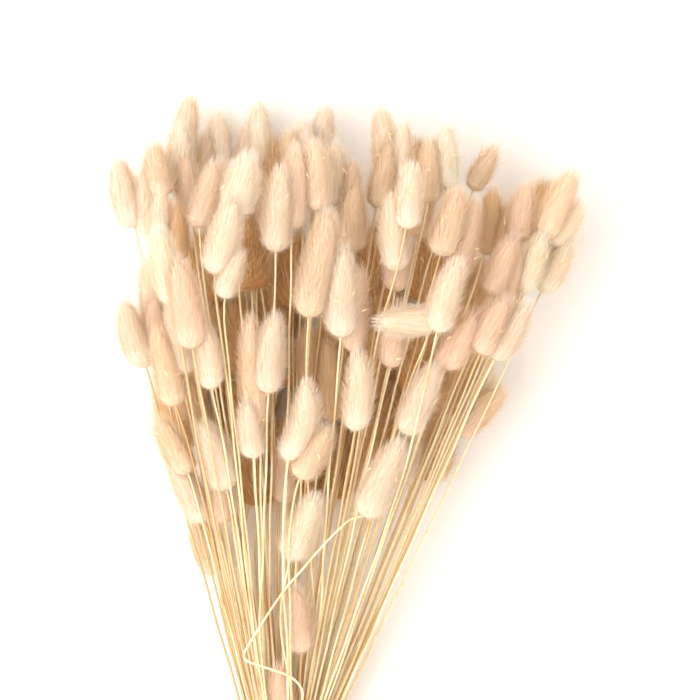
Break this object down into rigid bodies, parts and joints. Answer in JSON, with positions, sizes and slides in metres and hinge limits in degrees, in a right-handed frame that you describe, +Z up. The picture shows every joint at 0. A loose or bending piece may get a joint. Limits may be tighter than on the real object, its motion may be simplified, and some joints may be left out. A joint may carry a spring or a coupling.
{
  "type": "dried bunny tail grass bunch",
  "caption": "Bunch of dried bunny tail grass with soft egg-shaped flower heads on thin straw stalks, tied with twine and lying on its back.",
  "frame": {"origin": "under the middle of the bunch, at the height of the surface it lies on", "axes": "+Z up, +Y along the bunch from the cut ends towards the heads, +X to the right seen from above"},
  "size_m": [0.2616, 0.4614, 0.1213],
  "materials": {
    "panicle_cream": "soft dry hairs, cream",
    "panicle_beige": "soft dry hairs, beige",
    "panicle_pink": "soft dry hairs, pinkish beige",
    "panicle_tan": "dry hairs, tan",
    "straw": "dry grass stalk",
    "twine": "laid jute twine"
  },
  "bodies": {
    "root": {"heads_01": "panicle_tan", "heads_02": "panicle_cream", "heads_03": "panicle_beige", "heads_04": "panicle_cream", "heads_05": "panicle_tan", "heads_06": "panicle_tan", "heads_07": "panicle_tan", "heads_08": "panicle_cream", "heads_09": "panicle_tan", "heads_10": "panicle_cream", "heads_11": "panicle_cream", "heads_12": "panicle_pink", "heads_13": "panicle_cream", "heads_14": "panicle_cream", "heads_15": "panicle_pink", "heads_16": "panicle_beige", "heads_17": "panicle_tan", "heads_18": "panicle_cream", "heads_19": "panicle_tan", "heads_20": "panicle_beige", "heads_21": "panicle_beige", "heads_22": "panicle_cream", "heads_23": "panicle_cream", "heads_24": "panicle_pink", "heads_25": "panicle_cream", "heads_26": "panicle_beige", "heads_27": "panicle_cream", "heads_28": "panicle_tan", "heads_29": "panicle_cream", "heads_30": "panicle_beige", "heads_31": "panicle_pink", "heads_32": "panicle_beige", "heads_33": "panicle_beige", "heads_34": "panicle_beige", "heads_35": "panicle_tan", "heads_36": "panicle_cream", "heads_37": "panicle_cream", "heads_38": "panicle_tan", "heads_39": "panicle_beige", "heads_40": "panicle_cream", "heads_41": "panicle_tan", "heads_42": "panicle_beige", "heads_43": "panicle_cream", "heads_44": "panicle_beige", "heads_45": "panicle_tan", "heads_46": "panicle_cream", "heads_47": "panicle_pink", "heads_48": "panicle_cream", "heads_49": "panicle_cream", "heads_50": "panicle_beige", "heads_51": "panicle_pink", "heads_52": "panicle_pink", "stalks_1": "straw", "stalks_2": "straw", "stalks_3": "straw", "stalks_4": "straw", "stalks_5": "straw", "stalks_6": "straw", "stalks_7": "straw", "tie": "twine"}
  },
  "joints": []
}
